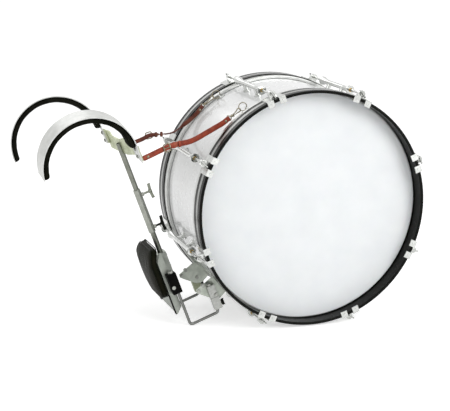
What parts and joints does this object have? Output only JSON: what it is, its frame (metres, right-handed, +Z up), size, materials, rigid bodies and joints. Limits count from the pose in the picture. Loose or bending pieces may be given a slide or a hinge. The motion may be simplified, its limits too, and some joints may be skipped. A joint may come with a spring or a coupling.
{
  "type": "marching bass drum",
  "caption": "Marching bass drum with tensioned heads, hung in front of a shoulder carrier with padded arches, belly pad, hooked support rods and safety straps.",
  "frame": {"origin": "on the floor, under the middle of the part's box", "axes": "+Z up; the drum's axis is along Y with the near head towards -Y; the wearer's side, with the carrier, is towards -X"},
  "size_m": [1.0604, 0.4022, 0.6386],
  "materials": {
    "shell_wrap": "white gloss wrap over a ply shell",
    "head_film": "white coated film",
    "flesh_metal": "satin grey",
    "hoop_lacquer": "black gloss lacquer",
    "inlay_strip": "silver strip",
    "plated": "bright plate",
    "nut_brass": "plain",
    "fastener": "zinc plated",
    "plate_steel": "zinc plated, grey green",
    "clamp_metal": "cast, tumbled",
    "black_metal": "black, satin",
    "rod_steel": "zinc plated",
    "block_plastic": "black nylon",
    "frame_metal": "satin, grey green",
    "guard_rubber": "black",
    "pad_vinyl": "black vinyl over foam",
    "pad_foam": "black closed-cell foam",
    "band_paint": "silver",
    "strap_brass": "dull plate",
    "strap_leather": "red"
  },
  "bodies": {
    "root": {"shell": "shell_wrap", "near_head": "head_film", "far_head": "head_film", "flesh_hoops": "flesh_metal", "near_hoop": "hoop_lacquer", "far_hoop": "hoop_lacquer", "hoop_inlays": "inlay_strip", "near_claws": "plated", "far_claws": "plated", "lug_casings": "plated", "swivel_nuts": "nut_brass", "shell_screws": "fastener", "vent_grommet": "plated", "near_mount_plate": "plate_steel", "far_mount_plate": "plate_steel", "mount_plate_bolts": "fastener", "near_rod_clamp": "clamp_metal", "far_rod_clamp": "clamp_metal", "near_j_rod": "rod_steel", "far_j_rod": "rod_steel", "j_rod_nuts": "fastener", "rod_blocks": "block_plastic", "bracket_screws": "fastener", "belly_bracket": "frame_metal", "bracket_edge_guards": "guard_rubber", "belly_pad": "pad_vinyl", "pole_socket": "frame_metal", "lower_tube": "frame_metal", "strap_eyes": "plated", "strap_fittings": "strap_brass", "near_strap": "strap_leather", "far_strap": "strap_leather"},
    "sleeve": {"sleeve": "frame_metal"},
    "yoke": {"upper_tube": "frame_metal", "cross_plate": "frame_metal", "yoke_bolts": "fastener", "near_shoulder_band": "band_paint", "far_shoulder_band": "band_paint", "near_shoulder_pad": "pad_foam", "far_shoulder_pad": "pad_foam"},
    "lower_wing_bolt": {"lower_wing_bolt": "black_metal"},
    "upper_wing_bolt": {"upper_wing_bolt": "black_metal"},
    "near_clamp_wing": {"near_clamp_wing": "black_metal"},
    "far_clamp_wing": {"far_clamp_wing": "black_metal"},
    "near_tension_rod_1": {"near_tension_rod_1": "plated"},
    "far_tension_rod_1": {"far_tension_rod_1": "plated"},
    "near_tension_rod_2": {"near_tension_rod_2": "plated"},
    "far_tension_rod_2": {"far_tension_rod_2": "plated"},
    "near_tension_rod_3": {"near_tension_rod_3": "plated"},
    "far_tension_rod_3": {"far_tension_rod_3": "plated"},
    "near_tension_rod_4": {"near_tension_rod_4": "plated"},
    "far_tension_rod_4": {"far_tension_rod_4": "plated"},
    "near_tension_rod_5": {"near_tension_rod_5": "plated"},
    "far_tension_rod_5": {"far_tension_rod_5": "plated"},
    "near_tension_rod_6": {"near_tension_rod_6": "plated"},
    "far_tension_rod_6": {"far_tension_rod_6": "plated"},
    "near_tension_rod_7": {"near_tension_rod_7": "plated"},
    "far_tension_rod_7": {"far_tension_rod_7": "plated"},
    "near_tension_rod_8": {"near_tension_rod_8": "plated"},
    "far_tension_rod_8": {"far_tension_rod_8": "plated"}
  },
  "joints": [
    {"name": "sleeve_slide", "type": "slide", "parent": "root", "child": "sleeve", "axis": [-0.342, 0, 0.9397], "range_m": [-0.035, 0.012], "deforming": ["near_strap", "far_strap"]},
    {"name": "yoke_swivel", "type": "hinge", "parent": "sleeve", "child": "yoke", "pos_m": [-0.21229, -0.00111, 0.33877], "axis": [-0.342, 0, 0.9397], "range_deg": [-9, 5], "deforming": ["near_strap", "far_strap"]},
    {"name": "lower_wing_turn", "type": "hinge", "parent": "sleeve", "child": "lower_wing_bolt", "pos_m": [-0.16741, -0.00111, 0.25932], "axis": [0.9397, 0, 0.342], "continuous": true},
    {"name": "upper_wing_turn", "type": "hinge", "parent": "sleeve", "child": "upper_wing_bolt", "pos_m": [-0.20025, -0.00111, 0.34953], "axis": [0.9397, 0, 0.342], "continuous": true},
    {"name": "near_clamp_turn", "type": "hinge", "parent": "root", "child": "near_clamp_wing", "pos_m": [-0.01758, -0.09261, 0.05526], "axis": [0.9397, 0, 0.342], "continuous": true},
    {"name": "far_clamp_turn", "type": "hinge", "parent": "root", "child": "far_clamp_wing", "pos_m": [-0.01758, 0.09039, 0.05526], "axis": [0.9397, 0, 0.342], "continuous": true},
    {"name": "near_tension_rod_1_turn", "type": "hinge", "parent": "root", "child": "near_tension_rod_1", "pos_m": [0.51871, -0.13111, 0.43258], "axis": [0, -1, 0], "continuous": true},
    {"name": "far_tension_rod_1_turn", "type": "hinge", "parent": "root", "child": "far_tension_rod_1", "pos_m": [0.51871, 0.12889, 0.43258], "axis": [0, 1, 0], "continuous": true},
    {"name": "near_tension_rod_2_turn", "type": "hinge", "parent": "root", "child": "near_tension_rod_2", "pos_m": [0.34846, -0.13111, 0.61708], "axis": [0, -1, 0], "continuous": true},
    {"name": "far_tension_rod_2_turn", "type": "hinge", "parent": "root", "child": "far_tension_rod_2", "pos_m": [0.34846, 0.12889, 0.61708], "axis": [0, 1, 0], "continuous": true},
    {"name": "near_tension_rod_3_turn", "type": "hinge", "parent": "root", "child": "near_tension_rod_3", "pos_m": [0.09762, -0.13111, 0.62715], "axis": [0, -1, 0], "continuous": true},
    {"name": "far_tension_rod_3_turn", "type": "hinge", "parent": "root", "child": "far_tension_rod_3", "pos_m": [0.09762, 0.12889, 0.62715], "axis": [0, 1, 0], "continuous": true},
    {"name": "near_tension_rod_4_turn", "type": "hinge", "parent": "root", "child": "near_tension_rod_4", "pos_m": [-0.08687, -0.13111, 0.45691], "axis": [0, -1, 0], "continuous": true},
    {"name": "far_tension_rod_4_turn", "type": "hinge", "parent": "root", "child": "far_tension_rod_4", "pos_m": [-0.08687, 0.12889, 0.45691], "axis": [0, 1, 0], "continuous": true},
    {"name": "near_tension_rod_5_turn", "type": "hinge", "parent": "root", "child": "near_tension_rod_5", "pos_m": [-0.09695, -0.13111, 0.20607], "axis": [0, -1, 0], "continuous": true},
    {"name": "far_tension_rod_5_turn", "type": "hinge", "parent": "root", "child": "far_tension_rod_5", "pos_m": [-0.09695, 0.12889, 0.20607], "axis": [0, 1, 0], "continuous": true},
    {"name": "near_tension_rod_6_turn", "type": "hinge", "parent": "root", "child": "near_tension_rod_6", "pos_m": [0.0733, -0.13111, 0.02157], "axis": [0, -1, 0], "continuous": true},
    {"name": "far_tension_rod_6_turn", "type": "hinge", "parent": "root", "child": "far_tension_rod_6", "pos_m": [0.0733, 0.12889, 0.02157], "axis": [0, 1, 0], "continuous": true},
    {"name": "near_tension_rod_7_turn", "type": "hinge", "parent": "root", "child": "near_tension_rod_7", "pos_m": [0.32414, -0.13111, 0.0115], "axis": [0, -1, 0], "continuous": true},
    {"name": "far_tension_rod_7_turn", "type": "hinge", "parent": "root", "child": "far_tension_rod_7", "pos_m": [0.32414, 0.12889, 0.0115], "axis": [0, 1, 0], "continuous": true},
    {"name": "near_tension_rod_8_turn", "type": "hinge", "parent": "root", "child": "near_tension_rod_8", "pos_m": [0.50863, -0.13111, 0.18175], "axis": [0, -1, 0], "continuous": true},
    {"name": "far_tension_rod_8_turn", "type": "hinge", "parent": "root", "child": "far_tension_rod_8", "pos_m": [0.50863, 0.12889, 0.18175], "axis": [0, 1, 0], "continuous": true}
  ]
}
